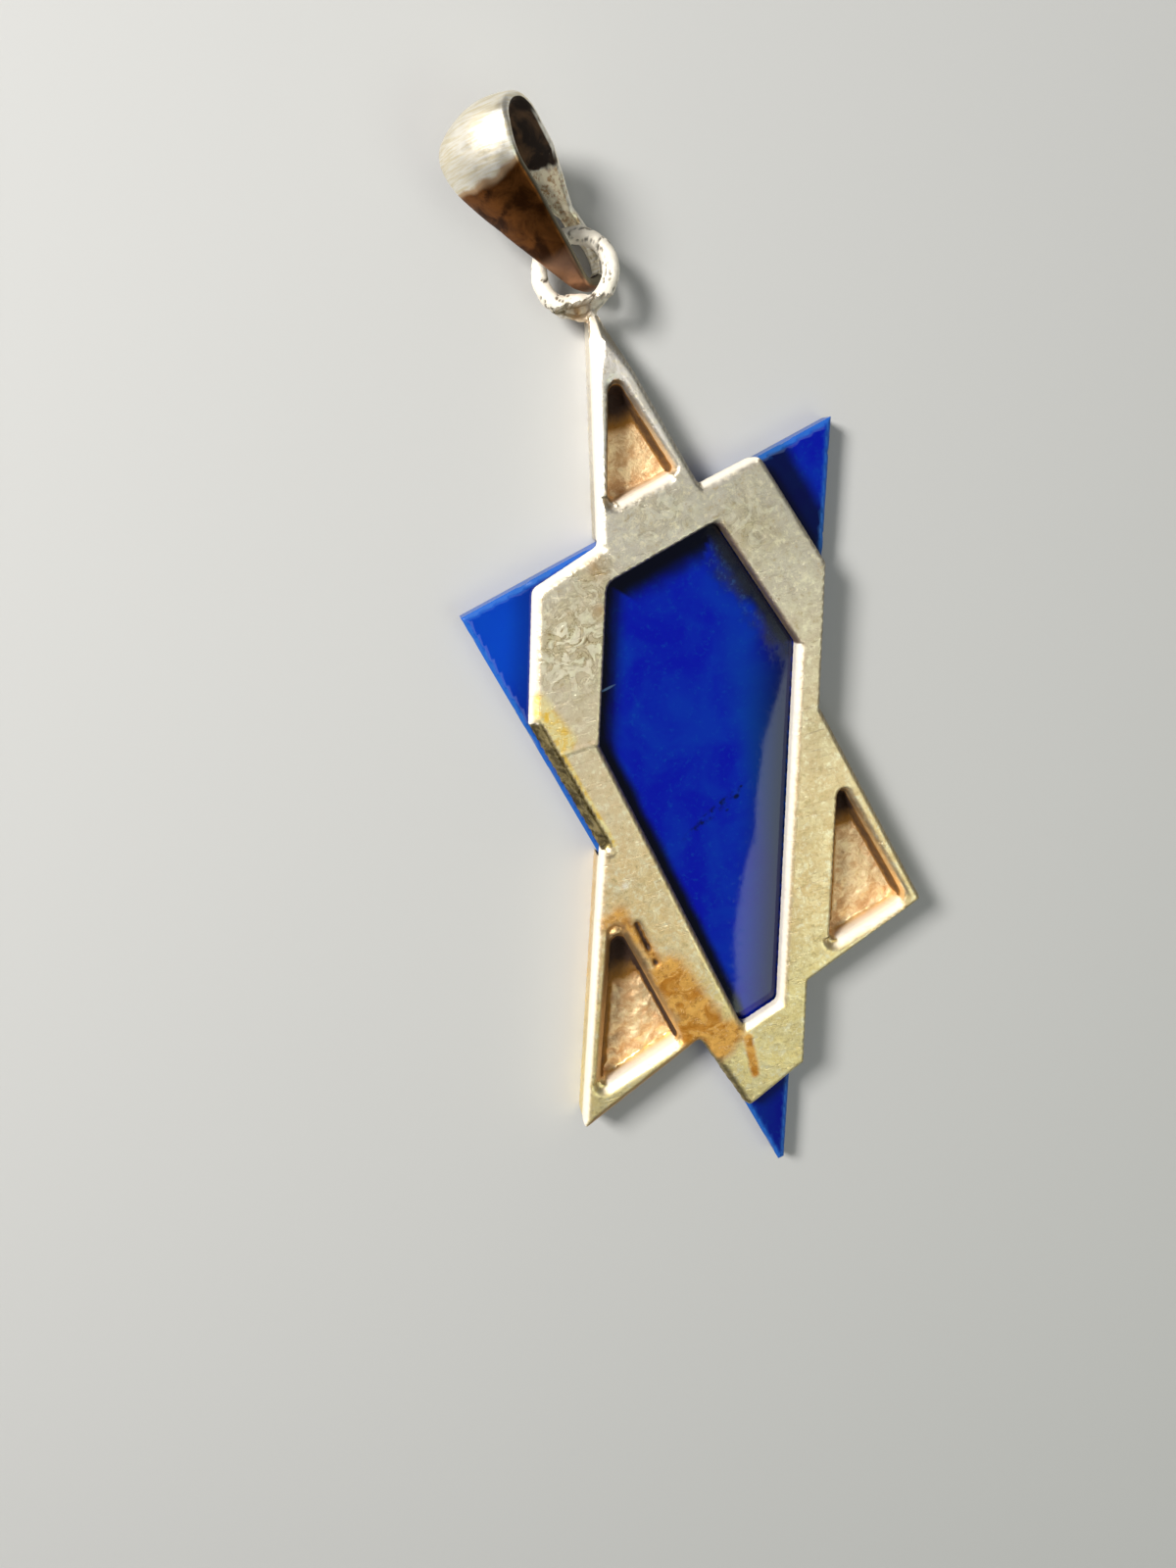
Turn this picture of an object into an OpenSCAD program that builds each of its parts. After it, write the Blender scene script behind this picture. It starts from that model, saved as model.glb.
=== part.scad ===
// Star pendant: a cast gold frame over a triangular stone slab, with a soldered ring and a folded bail.
// It lies face down: +Z points out of its back, +Y runs from the stone's lower point to the gold tip.
// The origin is the middle of the star on its front face. Lengths are in millimetres, angles in degrees.

/* [Star] */
// Length from the gold tip to the stone's lower point
star_l = 40; // [36:0.5:44]
// Width across the widest gold points
star_w = 18.2; // [16.5:0.1:20]

/* [Stone] */
// Thickness of the stone slab
stone_t = 1.2; // [1.1:0.05:1.5]
// Width of the bevel round the stone's back edge
stone_bevel = 0.15; // [0.05:0.05:0.3]
// Gap between the stone and the metal round it
seat_gap = 0.05; // [0.03:0.01:0.1]

/* [Frame] */
// Thickness of the metal plate behind the stone
plate_t = 0.75; // [0.6:0.05:1]
// How far the left edge's file mark runs in over the back
filed_w = 0.45; // [0.2:0.05:0.6]
// Radius of the frame's rounded corners
corner_r = 0.5; // [0.3:0.05:0.6]
// Thickness of the metal left in front of each recess
recess_floor_t = 0.75; // [0.5:0.05:1]
// How far the walls of a recess lean in from its rim to its floor
recess_draft = 0.2; // [0.1:0.02:0.24]
// Radius of the corners of the window and the recesses
pocket_r = 0.3; // [0.2:0.05:0.4]

/* [Ring] */
// Thickness of the ring's wire
ring_wire = 0.62; // [0.5:0.02:0.64]
// Radius of the ring along the middle of its wire
ring_r = 1.4; // [1.36:0.02:1.6]
// How far the ring sits to the left of the middle line, seen from the back
ring_left = 0.15; // [0:0.05:0.2]
// Height of the ring's middle over the front face
ring_h = 1.4; // [1.35:0.05:1.5]
// Angle by which the ring's far side leans down
ring_lean = 15; // [8:1:18]
// Angle by which the ring's left side leans down
ring_roll = 10; // [4:1:14]
// How far the ring's wire bites into the gold tip
ring_bite = 0.1; // [0.1:0.05:0.3]
// Radius of the solder that joins the ring to the tip
solder_r = 0.5; // [0.4:0.05:0.7]

/* [Bail] */
// Thickness of the bail's strap at the fold
strap_t = 0.36; // [0.3:0.02:0.38]
// Thickness of the strap at the crown
crown_t = 0.26; // [0.22:0.02:0.4]
// Inner radius of the fold that holds the ring
fold_r = 0.86; // [0.84:0.02:0.96]
// Inner radius of the crown's edges, where the chain runs through
crown_r = 1.12; // [1:0.02:1.4]
// How far the middle of the crown bulges out over its edges
crown_dome = 0.34; // [0.1:0.02:0.4]
// Reach of the crown along the bail, as a share of its radius
crown_reach = 1.2; // [1:0.05:1.3]
// Distance from the fold's centre to the crown's centre
leg_l = 4.55; // [4.2:0.05:5]
// Width of the strap at the fold
fold_w = 0.55; // [0.4:0.05:0.6]
// Width of the strap where the legs leave the ring
neck_w = 0.7; // [0.6:0.05:0.8]
// Width of the strap at the shoulder, below the crown
shoulder_w = 2.6; // [2.2:0.05:2.8]
// Width of the strap at the top of the crown
crown_w = 3.5; // [3:0.05:4]
// Angle by which the bail is turned to the left, seen from the back
bail_turn = 33; // [30:1:36]
// Angle by which the bail's crown is raised
bail_rise = 20; // [18:1:22]
// Angle by which the bail is rolled about its own length
bail_roll = 49; // [46:1:52]
// How far the fold's centre lies inside the ring's wire
bail_slack = 1; // [0.95:0.05:1.05]
// How far the bail has slid sideways along the ring
bail_slide = 0.85; // [0.8:0.05:0.9]

/* [Hidden] */
$fn = 48;

// Straight pieces that each rounded corner is drawn with, and the steps round the bail's two bends
ARC_STEPS = 4;
FOLD_STEPS = 8;
CROWN_STEPS = 12;
// Places across the strap where its surface is drawn, and along each leg, as shares of the width and the length
ACROSS = [-0.5, -0.25, 0, 0.25, 0.5];
LEG_SHARES = [0.25, 0.5, 0.75];
// A cut runs this far past the metal
PAST = 1;
// A gold point runs this far up into the plate, and stands back by this much from the plate's edge
POINT_LAP = 0.3;
POINT_STEP = 0.02;
// Radius of a gold point's two corners at the stone, as a share of the radius of its tip
SEAT_ROUND = 0.1;
// Angle round the ring that the solder covers, its drop below the wire and its size at the far end, as shares
SOLDER_SPREAD = 40;
SOLDER_DROP = 0.25;
SOLDER_END = 0.7;
// Places of the bail's neck and shoulder, as shares of the distance between its bends
NECK_AT = 0.3;
SHOULDER_AT = 0.8;

// Heights over the front face
plate_z = stone_t + seat_gap;
back_z = plate_z + plate_t;

// Corners of the frame, clockwise from the gold tip
X = 0;           // share of half the width
Y = 1;           // share of half the length
ROUND = 2;       // share of the corner radius
FRAME = [
    [0.015, 1.028, 0.4],
    [0.309, 0.630, 0.4],
    [0.608, 0.660, 1.0],
    [0.826, 0.406, 0.5],
    [0.667, 0.104, 0.4],
    [1.005, -0.412, 0.3],
    [0.333, -0.531, 0.3],
    [0.223, -0.736, 0.6],
    [-0.115, -0.808, 0.7],
    [-0.278, -0.595, 0.4],
    [-0.981, -0.735, 0.3],
    [-0.532, -0.074, 0.3],
    [-0.711, 0.236, 0.8],
    [-0.537, 0.509, 0.9],
    [-0.199, 0.560, 0.2]
];
// The edge with the file mark runs between these two corners
FILED = [11, 12];
// Each hollow gold point: the number of its tip's corner, and of the two stone corners that its inner edge joins
POINTS = [[0, 0, 1], [5, 1, 2], [10, 3, 0]];

// Corners of the stone, clockwise
STONE = [
    [-0.883, 0.488],
    [1.008, 0.694],
    [0.029, -0.999],
    [-0.006, -1.002]
];

// Corners of the window and of each recess, clockwise
DRAFT = 3;       // share of the draft that the wall which starts here has
WINDOW = [
    [-0.203, 0.483, 2.0],
    [0.359, 0.550, 1.4],
    [0.622, 0.255, 1.0],
    [0.167, -0.566, 1.0],
    [-0.048, -0.598, 1.0],
    [-0.416, 0.156, 1.0]
];
RECESSES = [
    [[0.031, 0.908, 1.1, 1], [0.234, 0.666, 0.7, 1], [-0.125, 0.627, 1.0, 0.6]],
    [[0.697, -0.056, 0.9, 1], [0.944, -0.406, 1.8, 0.8], [0.476, -0.465, 1.3, 0.6]],
    [[-0.556, -0.221, 1.2, 1], [-0.369, -0.580, 1.0, 0.6], [-0.863, -0.651, 1.1, 1.6]]
];

// Points of a table in millimetres
function corners(table) = [for (row = table) [row[X] * star_w / 2, row[Y] * star_l / 2]];
function radii(table, r) = [for (row = table) row[ROUND] * r];

function unit(v) = v / norm(v);
function wrap(i, n) = (i + n) % n;

// Normal that points into a clockwise outline from its edge a to b
function inward(a, b) = unit([b[1] - a[1], a[0] - b[0]]);

// A clockwise outline moved inwards, edge i by insets[i]
function moved_in(points, insets) = [
    for (i = [0:len(points) - 1])
        let (
            n = len(points),
            p = points[i],
            before = inward(points[wrap(i - 1, n)], p),
            after = inward(p, points[wrap(i + 1, n)]),
            d1 = insets[wrap(i - 1, n)],
            d2 = insets[i],
            c = before * after
        )
        p + ((d1 - d2 * c) * before + (d2 - d1 * c) * after) / (1 - c * c)
];
function all_edges(points, d) = [for (p = points) d];

// An outline with each corner drawn as an arc of its own radius
function rounded(points, rs) = [
    for (i = [0:len(points) - 1])
        let (
            n = len(points),
            p = points[i],
            a = unit(points[wrap(i - 1, n)] - p),
            b = unit(points[wrap(i + 1, n)] - p),
            half = acos(a * b) / 2,
            centre = p + unit(a + b) * rs[i] / sin(half),
            start = p + a * rs[i] / tan(half) - centre,
            end = p + b * rs[i] / tan(half) - centre
        )
        for (k = [0:ARC_STEPS])
            let (t = k / ARC_STEPS)
            centre + rs[i] * unit(start * (1 - t) + end * t)
];

// Where the line through a and b meets the line through c and d
function meet(a, b, c, d) =
    let (n = [d[1] - c[1], c[0] - d[0]])
    a + (b - a) * ((c - a) * n) / ((b - a) * n);

// A closed solid through outlines of equal length, one at each height, from the lowest up
module loft(outlines, heights) {
    n = len(outlines[0]);
    levels = len(outlines);
    points = [for (k = [0:levels - 1]) for (p = outlines[k]) [p[0], p[1], heights[k]]];
    sides = [
        for (k = [0:levels - 2])
            for (i = [0:n - 1])
                let (a = k * n, b = a + n, j = (i + 1) % n)
                each [[a + i, a + j, b + j], [a + i, b + j, b + i]]
    ];
    bottom = [for (i = [n - 1:-1:0]) i];
    top = [for (i = [0:n - 1]) (levels - 1) * n + i];
    polyhedron(points, concat([bottom], sides, [top]), convexity = 6);
}

frame_points = corners(FRAME);
frame_radii = radii(FRAME, corner_r);
stone_points = corners(STONE);

// The outline of the frame, and how far its gold tip reaches
frame_outline = rounded(frame_points, frame_radii);
tip_y = max([for (p = frame_outline) p[1]]);

// The middle of the ring, and a point on its wire at an angle round it
ring_y = tip_y + ring_wire / 2 + ring_r * cos(ring_lean) - ring_bite;
ring_centre = [-ring_left, ring_y, ring_h];
function leaned(p) = [p[0], p[1] * cos(ring_lean), -p[1] * sin(ring_lean)];
function rolled(p) = [
    p[0] * cos(ring_roll) - p[2] * sin(ring_roll),
    p[1],
    p[0] * sin(ring_roll) + p[2] * cos(ring_roll)
];
function on_ring(angle) = ring_centre + rolled(leaned(ring_r * [cos(angle), sin(angle), 0]));

// Directions of the bail: across its strap, along it towards the crown, and out of its front
bail_along = [-sin(bail_turn) * cos(bail_rise), cos(bail_turn) * cos(bail_rise), sin(bail_rise)];
bail_level = [cos(bail_turn), sin(bail_turn), 0];
bail_up = cross(bail_level, bail_along);
bail_across = bail_level * cos(bail_roll) + bail_up * sin(bail_roll);
bail_out = bail_up * cos(bail_roll) - bail_level * sin(bail_roll);
function from_bail(p) = p[0] * bail_across + p[1] * bail_along + p[2] * bail_out;

// Width of the strap at a distance along the bail from the fold's centre
function strap_w(along) = lookup(along, [
    [-fold_r - strap_t, fold_w],
    [leg_l * NECK_AT, neck_w],
    [leg_l * SHOULDER_AT, shoulder_w],
    [leg_l + crown_reach * (crown_r + crown_t), crown_w]
]);

// A line along the strap: over the crown's bend, down one leg, round the fold and up the other leg
leg_angle = asin((crown_r + crown_t - fold_r - strap_t) / leg_l);
function bend(centre, r, reach, from, to, steps) = [
    for (k = [0:steps])
        let (angle = from + (to - from) * k / steps)
        [centre + reach * r * sin(angle), r * cos(angle)]
];
function leg(a, b) = [for (t = LEG_SHARES) a * (1 - t) + b * t];
function strap_line(r1, r2) =
    let (
        crown = bend(leg_l, r1, crown_reach, -leg_angle, 180 + leg_angle, CROWN_STEPS),
        fold = bend(0, r2, 1, 180 + leg_angle, 360 - leg_angle, FOLD_STEPS)
    )
    concat(
        crown,
        leg(crown[CROWN_STEPS], fold[0]),
        fold,
        leg(fold[FOLD_STEPS], crown[0])
    );

// The lines at each place across the strap, over its outside and back along its inside
function domed(share) = crown_r + crown_dome * (1 - 4 * share * share);
strap_shares = concat(ACROSS, -ACROSS);
strap_lines = concat(
    [for (share = ACROSS) strap_line(domed(share) + crown_t, fold_r + strap_t)],
    [for (share = ACROSS) strap_line(domed(share), fold_r)]
);
bail_sections = [
    for (i = [0:len(strap_lines[0]) - 1])
        let (w = strap_w(strap_lines[0][i][0]))
        [for (k = [0:len(strap_lines) - 1]) [strap_shares[k] * w, strap_lines[k][i][0], strap_lines[k][i][1]]]
];

// The fold hooks round the ring's wire on the side that the bail turns to, and the strap rests on the floor
bail_hook = on_ring(90 + bail_turn) - bail_slack * bail_along + bail_slide * bail_across;
bail_lowest = min([for (section = bail_sections) for (p = section) from_bail(p)[2]]);
bail_place = [bail_hook[0], bail_hook[1], -bail_lowest];
bail_points = [for (section = bail_sections) for (p = section) bail_place + from_bail(p)];

// The plate behind the stone
module plate() {
    translate([0, 0, plate_z])
        linear_extrude(height = plate_t)
            polygon(frame_outline);
}

// The thick part of a gold point, from the front face up into the plate
module point_block(entry) {
    n = len(frame_points);
    seat = moved_in(stone_points, all_edges(stone_points, -seat_gap));
    tip = frame_points[entry[0]];
    from = meet(tip, frame_points[wrap(entry[0] - 1, n)], seat[entry[1]], seat[entry[2]]);
    to = meet(tip, frame_points[wrap(entry[0] + 1, n)], seat[entry[1]], seat[entry[2]]);
    triangle = moved_in([from, tip, to], [POINT_STEP, POINT_STEP, 0]);
    linear_extrude(height = plate_z + POINT_LAP)
        polygon(rounded(triangle, [SEAT_ROUND, 1, SEAT_ROUND] * frame_radii[entry[0]]));
}

// What the file took off the left edge
module file_mark() {
    a = frame_points[FILED[0]];
    b = frame_points[FILED[1]];
    in = inward(a, b);
    function strip(d) = [a - in * PAST, b - in * PAST, b + in * d, a + in * d];
    loft([strip(-POINT_STEP), strip(filed_w)], [plate_z, back_z + POINT_STEP]);
}

// The opening over the stone
module window() {
    points = corners(WINDOW);
    translate([0, 0, plate_z - PAST])
        linear_extrude(height = plate_t + 2 * PAST)
            polygon(rounded(points, radii(WINDOW, pocket_r)));
}

// A hollow in a gold point, with walls that lean in
module recess(table) {
    points = corners(table);
    rs = radii(table, pocket_r);
    drafts = [for (row = table) row[DRAFT] * recess_draft];
    flares = -drafts * PAST / (back_z - recess_floor_t);
    loft(
        [rounded(moved_in(points, drafts), rs), rounded(moved_in(points, flares), rs)],
        [recess_floor_t, back_z + PAST]
    );
}

// The jump ring, lying nearly flat beyond the gold tip
module ring() {
    translate(ring_centre)
        rotate([-ring_lean, -ring_roll, 0])
            rotate_extrude()
                translate([ring_r, 0])
                    circle(d = ring_wire);
}

// A lump of solder between the ring and the tip, spread to the left under the ring
module solder() {
    hull() {
        for (end = [[0, 1], [SOLDER_SPREAD, SOLDER_END]])
            translate(on_ring(-90 - end[0]) - [0, 0, SOLDER_DROP * ring_wire])
                sphere(r = solder_r * end[1], $fn = 12);
    }
}

module star_frame() {
    color("gold") {
        difference() {
            union() {
                plate();
                for (entry = POINTS)
                    point_block(entry);
            }
            window();
            file_mark();
            for (table = RECESSES)
                recess(table);
        }
        ring();
        solder();
    }
}

module lapis_triangle() {
    color("mediumblue")
        loft(
            [stone_points, stone_points, moved_in(stone_points, all_edges(stone_points, stone_bevel))],
            [0, stone_t - stone_bevel, stone_t]
        );
}

// The folded strap, as a closed band of triangles
module bail() {
    n = len(bail_sections);
    m = len(strap_lines);
    sides = [
        for (i = [0:n - 1])
            for (k = [0:m - 1])
                let (a = m * i, b = m * ((i + 1) % n), l = (k + 1) % m)
                each [[a + k, b + k, b + l], [a + k, b + l, a + l]]
    ];
    color("goldenrod")
        polyhedron(bail_points, sides, convexity = 6);
}

star_frame();
lapis_triangle();
bail();
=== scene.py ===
import math
from collections import namedtuple
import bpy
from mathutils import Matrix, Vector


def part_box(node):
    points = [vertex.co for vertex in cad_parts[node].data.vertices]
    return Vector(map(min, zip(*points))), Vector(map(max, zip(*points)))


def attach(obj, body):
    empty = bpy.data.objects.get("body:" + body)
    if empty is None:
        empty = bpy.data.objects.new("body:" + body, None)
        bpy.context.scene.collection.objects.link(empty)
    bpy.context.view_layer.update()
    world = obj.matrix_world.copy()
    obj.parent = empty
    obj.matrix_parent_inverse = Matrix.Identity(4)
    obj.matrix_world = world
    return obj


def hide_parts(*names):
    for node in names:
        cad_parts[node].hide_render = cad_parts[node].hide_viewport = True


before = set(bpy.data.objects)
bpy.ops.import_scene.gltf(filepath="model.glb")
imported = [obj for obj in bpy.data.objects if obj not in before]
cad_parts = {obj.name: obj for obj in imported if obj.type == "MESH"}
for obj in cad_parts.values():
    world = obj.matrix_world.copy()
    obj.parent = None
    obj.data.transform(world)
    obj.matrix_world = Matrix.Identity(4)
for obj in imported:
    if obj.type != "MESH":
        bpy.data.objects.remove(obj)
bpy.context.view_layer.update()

from types import SimpleNamespace
import bmesh
import bpy
import numpy as np
from mathutils import Matrix, Vector, noise

# The dressed pendant lies face down, as its solids do. Shapes are made in millimetres and stored in metres.
MM = 0.001
WELD = 0.0005
SHARP_ANGLE = math.radians(40)
BUMP_DEPTH = 0.02 * MM
BACK_Z = 2.0
STONE_TOP = 1.2

# Corners of the gold frame, its window and the stone, as in the solids, clockwise seen from the back
FRAME = [
    (0.14, 20.48), (2.81, 12.60), (5.53, 13.20), (7.52, 8.12), (6.07, 2.08), (9.15, -8.24), (3.03, -10.62),
    (2.03, -14.72), (-1.05, -16.16), (-2.53, -11.90), (-8.93, -14.70), (-4.84, -1.48), (-6.47, 4.72),
    (-4.89, 10.18), (-1.81, 11.20)
]
WINDOW = [(-1.85, 9.66), (3.27, 11.0), (5.66, 5.10), (1.52, -11.32), (-0.44, -11.96), (-3.79, 3.12)]
STONE = [(-8.04, 9.76), (9.17, 13.88), (0.26, -19.98), (-0.05, -20.04)]


def smoothstep(low, high, x):
    """0 at low, 1 at high and smooth between them; low may be the greater of the two."""
    t = np.clip((x - low) / (high - low), 0, 1)
    return t * t * (3 - 2 * t)


def fractal(points, scale, octaves=3, shift=0.0):
    """Smooth noise at each point, about -1 to 1; scale is the size of its largest lumps in millimetres."""
    spots = points / scale + shift
    return np.array([noise.fractal(Vector(p), 0.9, 2.0, octaves) for p in spots.tolist()])


def edge_distance(points, corners):
    """Distance in the plane to an outline, less than 0 inside it, and the number of the nearest edge."""
    flat = points[:, :2]
    nearest = np.full(len(flat), np.inf)
    number = np.zeros(len(flat), int)
    inside = np.zeros(len(flat), bool)
    ends = np.array(corners)
    for k, (a, b) in enumerate(zip(ends, np.roll(ends, -1, axis=0))):
        along = b - a
        t = np.clip((flat - a) @ along / (along @ along), 0, 1)
        away = np.linalg.norm(flat - a - t[:, None] * along, axis=1)
        number[away < nearest] = k
        nearest = np.minimum(nearest, away)
        level = (a[1] > flat[:, 1]) != (b[1] > flat[:, 1])
        with np.errstate(divide="ignore", invalid="ignore"):
            crossing = a[0] + (flat[:, 1] - a[1]) * along[0] / along[1]
        inside ^= level & (flat[:, 0] < crossing)
    return np.where(inside, -nearest, nearest), number


def near(points, centre, radius):
    """1 at the centre, falling smoothly to 0 at the radius, in the plane."""
    away = np.linalg.norm(points[:, :2] - np.array(centre), axis=1)
    return 1 - smoothstep(0, radius, away)


def along_line(points, a, b, radius):
    """1 on the line from a to b, falling smoothly to 0 at the radius, in the plane."""
    a, b = np.array(a), np.array(b)
    flat = points[:, :2]
    t = np.clip((flat - a) @ (b - a) / ((b - a) @ (b - a)), 0, 1)
    away = np.linalg.norm(flat - a - t[:, None] * (b - a), axis=1)
    return 1 - smoothstep(0, radius, away)


def moved_in(corners, d):
    """A clockwise outline moved inwards by d."""
    ends = np.array(corners, float)

    def inward(a, b):
        across = np.stack([b[:, 1] - a[:, 1], a[:, 0] - b[:, 0]], axis=1)
        return across / np.linalg.norm(across, axis=1)[:, None]

    before = inward(np.roll(ends, 1, axis=0), ends)
    after = inward(ends, np.roll(ends, -1, axis=0))
    return ends + d * (before + after) / (1 + (before * after).sum(axis=1)[:, None])


def rounded_distance(points, corners, r):
    """As edge_distance, to the outline with its corners rounded by r."""
    away, number = edge_distance(points, moved_in(corners, r))
    return away - r, number


def mesh_points(mesh):
    flat = np.zeros(len(mesh.vertices) * 3, np.float32)
    mesh.vertices.foreach_get("co", flat)
    return flat.reshape(-1, 3).astype(float)


def mesh_normals(mesh):
    flat = np.zeros(len(mesh.vertices) * 3, np.float32)
    mesh.vertex_normals.foreach_get("vector", flat)
    return flat.reshape(-1, 3).astype(float)


def set_points(mesh, points):
    mesh.vertices.foreach_set("co", points.astype(np.float32).ravel())
    mesh.update()


def solid_copy(node):
    """A welded copy of a solid's mesh, in millimetres."""
    shape = bmesh.new()
    shape.from_mesh(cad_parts[node].data)
    bmesh.ops.scale(shape, vec=(1 / MM, 1 / MM, 1 / MM), verts=shape.verts)
    bmesh.ops.remove_doubles(shape, verts=shape.verts, dist=WELD)
    mesh = bpy.data.meshes.new(node + "_copy")
    shape.to_mesh(mesh)
    shape.free()
    return mesh


def remeshed(mesh, voxel):
    """The same solid in even small faces."""
    holder = bpy.data.objects.new("holder", mesh)
    bpy.context.scene.collection.objects.link(holder)
    even = holder.modifiers.new("even", "REMESH")
    even.mode = "VOXEL"
    even.voxel_size = voxel
    even.adaptivity = 0
    graph = bpy.context.evaluated_depsgraph_get()
    result = bpy.data.meshes.new_from_object(holder.evaluated_get(graph))
    bpy.data.objects.remove(holder)
    return result


def smoothed(mesh, rounds):
    """Rounds the edges off; each round steps in and a little further out, which keeps the size."""
    edges = np.zeros(len(mesh.edges) * 2, np.int32)
    mesh.edges.foreach_get("vertices", edges)
    a, b = edges.reshape(-1, 2).T
    points = mesh_points(mesh)
    n = len(points)
    count = np.bincount(a, minlength=n) + np.bincount(b, minlength=n)
    for share in (0.5, -0.52) * rounds:
        total = np.stack([
            np.bincount(a, points[b, k], n) + np.bincount(b, points[a, k], n) for k in range(3)
        ], axis=1)
        points += share * (total / count[:, None] - points)
    set_points(mesh, points)


def finish_piece(name, mesh, node, material, marks):
    """Puts a mesh in millimetres in place of a solid, inside its box, with marks for its finish."""
    low, high = (np.array(corner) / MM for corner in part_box(node))
    points = np.clip(mesh_points(mesh), low, high)
    set_points(mesh, points * MM)
    for key, values in marks.items():
        layer = mesh.attributes.new(key, "FLOAT", "POINT")
        layer.data.foreach_set("value", np.clip(values, 0, 1).astype(np.float32))
    mesh.shade_smooth()
    mesh.set_sharp_from_angle(angle=SHARP_ANGLE)
    mesh.materials.clear()
    mesh.materials.append(material)
    piece = bpy.data.objects.new(name, mesh)
    bpy.context.scene.collection.objects.link(piece)
    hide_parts(node)
    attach(piece, "root")


# Materials

class Look:
    """A material's nodes. Each helper adds a few and gives back their output.

    A colour is three numbers or an output.
    """

    def __init__(self, name, colour=None):
        self.material = bpy.data.materials.new(name)
        self.material.use_nodes = True
        self.tree = self.material.node_tree
        self.surface = self.tree.nodes["Principled BSDF"]
        self.colour = colour

    def feed(self, socket, value):
        """Links an output to an input, or sets the input to a value."""
        if isinstance(value, bpy.types.NodeSocket):
            self.tree.links.new(value, socket)
        else:
            socket.default_value = value

    def put(self, kind, inputs, **settings):
        """A new node with its settings and its inputs."""
        made = self.tree.nodes.new("ShaderNode" + kind)
        for key, value in settings.items():
            setattr(made, key, value)
        for key, value in inputs.items():
            self.feed(made.inputs[key], value)
        return made

    def maths(self, operation, a, b=0.0):
        return self.put("Math", {0: a, 1: b}, operation=operation).outputs[0]

    def times(self, a, b):
        return self.maths("MULTIPLY", a, b)

    def plus(self, a, b):
        return self.maths("ADD", a, b)

    def most(self, a, b):
        return self.maths("MAXIMUM", a, b)

    def off(self, a, b):
        """How far a is from b."""
        return self.maths("ABSOLUTE", self.maths("SUBTRACT", a, b))

    def ranged(self, value, low, high, to_low=0.0, to_high=1.0):
        """A smooth step from to_low, where the value is low, to to_high."""
        inputs = {"Value": value, "From Min": low, "From Max": high, "To Min": to_low, "To Max": to_high}
        return self.put("MapRange", inputs, interpolation_type="SMOOTHSTEP").outputs[0]

    def mixed(self, share, a, b):
        """Colour a turning to colour b."""
        colours = [c if isinstance(c, bpy.types.NodeSocket) else (*c, 1) for c in (a, b)]
        return self.put("Mix", {0: share, 6: colours[0], 7: colours[1]}, data_type="RGBA").outputs[2]

    def tint(self, share, colour):
        """Turns the material's colour so far to another."""
        self.colour = self.mixed(share, self.colour, colour)

    def place(self):
        """Place on the object in millimetres."""
        metres = self.put("TexCoord", {}).outputs["Object"]
        return self.put("VectorMath", {0: metres, "Scale": 1 / MM}, operation="SCALE").outputs[0]

    def speckle(self, place, scale, detail=4.0, roughness=0.55, distortion=0.0):
        inputs = {
            "Vector": place, "Scale": scale, "Detail": detail, "Roughness": roughness,
            "Distortion": distortion
        }
        return self.put("TexNoise", inputs).outputs["Fac"]

    def stretched(self, place, turn, scale):
        inputs = {"Vector": place, "Rotation": (0, 0, math.radians(turn)), "Scale": scale}
        return self.put("Mapping", inputs).outputs[0]

    def scratches(self, place, turn, width, share):
        """Fine lines in one direction, 1 on a line."""
        lines = self.speckle(self.stretched(place, turn, (0.5, 14.0 / width, 1.0)), 1.0, 3.0, 0.6, 0.4)
        return self.ranged(lines, share, share + 0.06)

    def oval(self, place, centre, turn, half_length, half_width):
        """1 in an oval round a place on the back, falling to 0 at its rim."""
        away = self.put("VectorMath", {0: place, 1: (*centre, 0)}, operation="SUBTRACT").outputs[0]
        turned = self.stretched(away, -turn, (1.0, 1.0, 0.0))
        sizes = (1 / half_length, 1 / half_width, 0)
        shares = self.put("VectorMath", {0: turned, 1: sizes}, operation="MULTIPLY").outputs[0]
        length = self.put("VectorMath", {0: shares}, operation="LENGTH").outputs["Value"]
        return self.ranged(length, 1.0, 0.4)

    def mark(self, name):
        """The share of a kind of finish at each point, from finish_piece."""
        return self.put("Attribute", {}, attribute_name=name).outputs["Fac"]

    def finished(self, rough, relief, strength):
        """The material, with its colour, roughness and relief linked to its shader."""
        self.feed(self.surface.inputs["Base Color"], self.colour)
        self.feed(self.surface.inputs["Roughness"], rough)
        bump = self.put("Bump", {"Height": relief, "Strength": strength, "Distance": BUMP_DEPTH})
        self.feed(self.surface.inputs["Normal"], bump.outputs[0])
        return self.material


# The plate's gold turns from silvery to warm to rich down its length, a painted reflection, and is pale on
# the top point
SILVERY_Y = 13.0
WARM_Y = -6.0
RICH_Y = -12.0
POINT_Y = 15.5
SILVERY = (0.665, 0.615, 0.53)
WARM = (0.90, 0.67, 0.35)
RICH = (1.0, 0.82, 0.38)
POINT_GOLD = (0.86, 0.82, 0.76)

# Blots, clouds, pores and glints on it, and the pale gold of worn bare places and of painted highlights
BLOT = (0.96, 0.88, 0.66)
CLOUD = (0.62, 0.50, 0.28)
PORE = (0.58, 0.44, 0.22)
GLINT = (1.0, 0.91, 0.68)
BARE_AND_HIGHLIGHT_GOLD = (1.0, 0.93, 0.80)
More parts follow.
